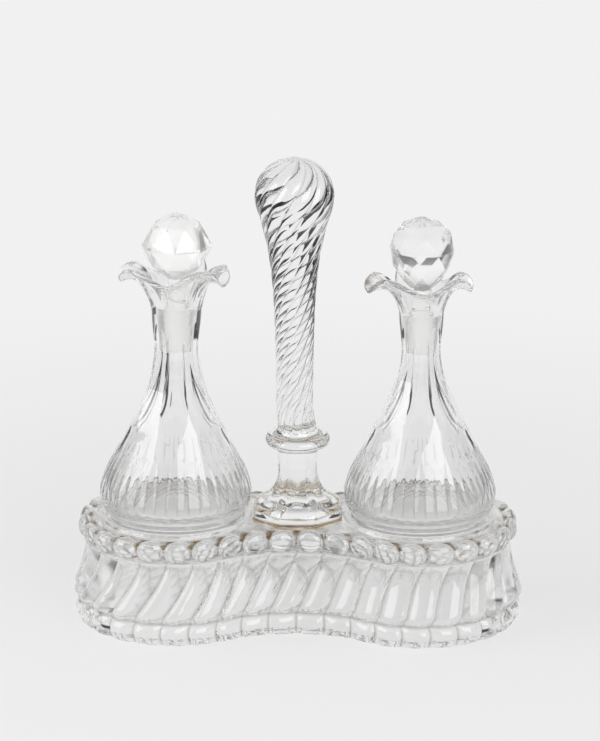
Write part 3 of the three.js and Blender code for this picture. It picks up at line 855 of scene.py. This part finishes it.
def glass(name, colour, roughness, waves=0.0, wave_scale=90.0, residue=0.0, clear_share=1.0):
    """Glass with pressed or drawn waviness, a faint shadow, and, where residue is given, brown residue
    over painted shade in its creases. Where clear_share is under 1, the rest of the light scatters at the
    surface."""
    material, nodes, links = new_material(name)
    place = nodes.new("ShaderNodeTexCoord")
    shader = add(nodes, "ShaderNodeBsdfPrincipled", Base_Color=(*colour, 1), Roughness=roughness,
                 IOR=GLASS_IOR, Transmission_Weight=clear_share)
    if waves:
        links.new(wavy_normal(nodes, links, place, waves, wave_scale), shader.inputs["Normal"])
    if residue:
        links.new(shaded_and_stained_colour(nodes, links, place, colour, residue), shader.inputs["Base Color"])
    shadow = nodes.new("ShaderNodeLightPath").outputs["Is Shadow Ray"]
    thin = add(nodes, "ShaderNodeBsdfTransparent", Color=(SHADOW_TINT, SHADOW_TINT, SHADOW_TINT, 1))
    put_out(nodes, links, blend_shaders(nodes, links, shadow, shader, thin))
    return material


def cement_material():
    """Old setting cement: cream under the glass, and mottled brown along its open edge."""
    material, nodes, links = new_material("cement")
    place = nodes.new("ShaderNodeTexCoord")
    shader = add(nodes, "ShaderNodeBsdfPrincipled", Roughness=0.75)
    ramp = nodes.new("ShaderNodeValToRGB")
    low, high = ramp.color_ramp.elements
    low.color, low.position = (0.30, 0.19, 0.09, 1), 0.35
    high.color, high.position = (0.62, 0.49, 0.32, 1), 0.65
    links.new(noise(nodes, links, place, 220, 5.0, 0.6), ramp.inputs[0])
    edge = ramp_between(nodes, links, distance_from_origin(nodes, links, place), 0.0532, 0.0537)
    tone = blend_colours(nodes, links, edge, (0.80, 0.77, 0.70), ramp.outputs[0])
    links.new(tone, shader.inputs["Base Color"])
    put_out(nodes, links, shader)
    return material


CLEAR = (0.985, 0.988, 0.985)
material_stand = glass(
    "pressed_crystal", (0.955, 0.96, 0.955), 0.01, waves=0.12, wave_scale=60, residue=1.0)
# frosted inside walls of the hollow; their tint, greyer than the outside glass, is painted shade that
# darkens the gadroons' milky fill
material_inner_shaded = glass("pressed_crystal_inside_shaded", (0.905, 0.91, 0.9), 0.2, waves=0.15, wave_scale=60)
material_ceiling = glass("pressed_crystal_ceiling", (0.94, 0.945, 0.94), 0.09, waves=0.15, wave_scale=60)
material_crystal = glass("handle_crystal", CLEAR, 0.0, residue=1.0)
material_cruet = glass("cruet_crystal", CLEAR, 0.0, waves=0.04, wave_scale=40, residue=0.8)
material_ground = glass(
    "ground_glass", (0.95, 0.95, 0.945), 0.38, waves=0.05, wave_scale=900, clear_share=0.9)
material_knob = {
    "left": glass("stopper_crystal_left", (0.985, 0.985, 0.98), 0.18, clear_share=0.87),
    "right": glass("stopper_crystal_right", CLEAR, 0.12, clear_share=0.93),
}
material_cement = cement_material()

# ---- pieces ----
stand = build_stand()
handle = build_handle()
cement = build_cement()
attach(stand, "stand")
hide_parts("stand_tray")
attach(handle, "stand")
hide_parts("handle_pillar")
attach(cement, "stand")
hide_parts("handle_cement")
for side in ("left", "right"):
    body = build_cruet(side)
    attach(body, "cruet_" + side)
    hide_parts("cruet_" + side)
    stopper = build_stopper(side)
    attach(stopper, "stopper_" + side)
    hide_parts("stopper_" + side)


# ---- studio ----
BACKDROP = (0.88, 0.88, 0.88)
STUDIO_END = (0.03, 0.03, 0.03)  # what lies past the white sweep
FLOOR_COLOUR = (0.87, 0.87, 0.875)
FLOOR_SIZE = 12.0
WORLD_LIGHT = 0.45
CAMERA_DISTANCE = 2.0
AIM = Vector((0, 0, 0.12))


def direction(azimuth, elevation):
    """Unit vector from the object; in degrees, azimuth 0 is the front and elevation 90 is up."""
    azimuth, elevation = math.radians(azimuth), math.radians(elevation)
    return Vector((
        math.sin(azimuth) * math.cos(elevation), -math.cos(azimuth) * math.cos(elevation),
        math.sin(elevation)))


def seen_rays(nodes, links):
    """1 for the rays that look at the studio, straight or through and off glass, and 0 for lighting."""
    ray = nodes.new("ShaderNodeLightPath")
    found = ray.outputs["Is Camera Ray"]
    for name in ("Is Glossy Ray", "Is Transmission Ray"):
        found = calculate(nodes, links, "MAXIMUM", found, ray.outputs[name])
    return found


def floor_material():
    """Lit floor that keeps the object's shadow, and fades to the backdrop's plain tone. Glass also
    sees where the white sweep ends, far to the sides and behind the camera."""
    material, nodes, links = new_material("floor")
    place = nodes.new("ShaderNodeTexCoord")
    away = ramp_between(nodes, links, distance_from_origin(nodes, links, place), 0.12, 0.55)
    share = add(nodes, "ShaderNodeMapRange", To_Min=0.45, To_Max=1.0)
    links.new(away, share.inputs["Value"])
    factor = calculate(nodes, links, "MULTIPLY", share.outputs[0], seen_rays(nodes, links))
    split = nodes.new("ShaderNodeSeparateXYZ")
    links.new(place.outputs["Object"], split.inputs[0])
    aside = calculate(nodes, links, "ABSOLUTE", split.outputs["X"])
    far_aside = ramp_between(nodes, links, aside, 0.36, 0.44)
    far_in_front = ramp_between(nodes, links, split.outputs["Y"], -1.0, -1.5)
    beyond = calculate(nodes, links, "MAXIMUM", far_aside, far_in_front)
    straight = nodes.new("ShaderNodeLightPath").outputs["Is Camera Ray"]
    end = calculate(nodes, links, "MULTIPLY", beyond, calculate(nodes, links, "SUBTRACT", 1.0, straight))
    lit = add(nodes, "ShaderNodeBsdfDiffuse", Color=(*FLOOR_COLOUR, 1))
    plain = add(nodes, "ShaderNodeEmission", Strength=1.0)
    links.new(blend_colours(nodes, links, end, BACKDROP, STUDIO_END), plain.inputs["Color"])
    put_out(nodes, links, blend_shaders(nodes, links, factor, lit, plain))
    return material


def build_floor():
    mesh = bpy.data.meshes.new("Floor")
    corners = [(-1, -1), (1, -1), (1, 1), (-1, 1)]
    mesh.from_pydata([(x * FLOOR_SIZE, y * FLOOR_SIZE, 0) for x, y in corners], [], [(0, 1, 2, 3)])
    mesh.materials.append(floor_material())
    floor = bpy.data.objects.new("Floor", mesh)
    scene.collection.objects.link(floor)


def build_world():
    """A studio that is white low down and all round, and dark overhead, at the sides and behind the
    camera. The camera itself sees only the plain backdrop, and the lighting is even."""
    world = bpy.data.worlds.new("Studio")
    scene.world = world
    world.use_nodes = True
    nodes, links = world.node_tree.nodes, world.node_tree.links
    nodes.clear()
    place = nodes.new("ShaderNodeTexCoord")
    split = nodes.new("ShaderNodeSeparateXYZ")
    links.new(place.outputs["Generated"], split.inputs[0])
    overhead = ramp_between(nodes, links, split.outputs["Z"], 0.35, 1.1)
    above = ramp_between(nodes, links, split.outputs["Z"], -0.02, 0.06)
    front = ramp_between(nodes, links, split.outputs["Y"], -0.5, -0.85)
    across = calculate(nodes, links, "ABSOLUTE", split.outputs["X"])
    sides = ramp_between(nodes, links, across, 0.6, 0.85)
    dark_front = calculate(nodes, links, "MULTIPLY", front, above)
    dark_sides = calculate(nodes, links, "MULTIPLY", sides, above)
    around = calculate(nodes, links, "MAXIMUM", dark_front, dark_sides)
    dark = calculate(nodes, links, "MAXIMUM", overhead, around)
    studio = blend_colours(nodes, links, dark, BACKDROP, STUDIO_END)
    straight = nodes.new("ShaderNodeLightPath").outputs["Is Camera Ray"]
    seen = nodes.new("ShaderNodeBackground")
    links.new(blend_colours(nodes, links, straight, studio, BACKDROP), seen.inputs["Color"])
    light = add(nodes, "ShaderNodeBackground", Color=(1, 1, 1, 1), Strength=WORLD_LIGHT)
    either = blend_shaders(nodes, links, seen_rays(nodes, links), light, seen)
    put_out(nodes, links, either, "ShaderNodeOutputWorld")


def softbox(name, azimuth, elevation, distance, size, radiance):
    """Rectangular soft light that faces the object, with a given brightness of its face."""
    place = distance * direction(azimuth, elevation)
    data = bpy.data.lights.new(name, "AREA")
    data.shape = "RECTANGLE"
    data.size, data.size_y = size
    data.energy = radiance * math.pi * size[0] * size[1]
    lamp = bpy.data.objects.new(name, data)
    lamp.location = place
    lamp.rotation_euler = (-place).to_track_quat("-Z", "Y").to_euler()
    lamp.visible_transmission = False
    scene.collection.objects.link(lamp)


def build_camera():
    data = bpy.data.cameras.new("Camera")
    data.sensor_width = 36.0
    data.lens = 209.2
    data.shift_x = 0.0031
    data.clip_start, data.clip_end = 0.05, 60
    camera = bpy.data.objects.new("Camera", data)
    scene.collection.objects.link(camera)
    back = direction(1.5, 17.9)
    camera.location = AIM + back * CAMERA_DISTANCE
    camera.rotation_euler = (-back).to_track_quat("-Z", "Y").to_euler()
    scene.camera = camera


build_floor()
build_world()
softbox("Left_softbox", -72, 25, 2.2, (1.7, 1.6), 3.5)
softbox("Right_softbox", 32, 26, 2.2, (1.8, 1.5), 3.5)
build_camera()
scene.view_settings.view_transform = "Standard"
scene.cycles.max_bounces = 64
scene.cycles.transmission_bounces = 64
scene.cycles.glossy_bounces = 64
scene.cycles.transparent_max_bounces = 48
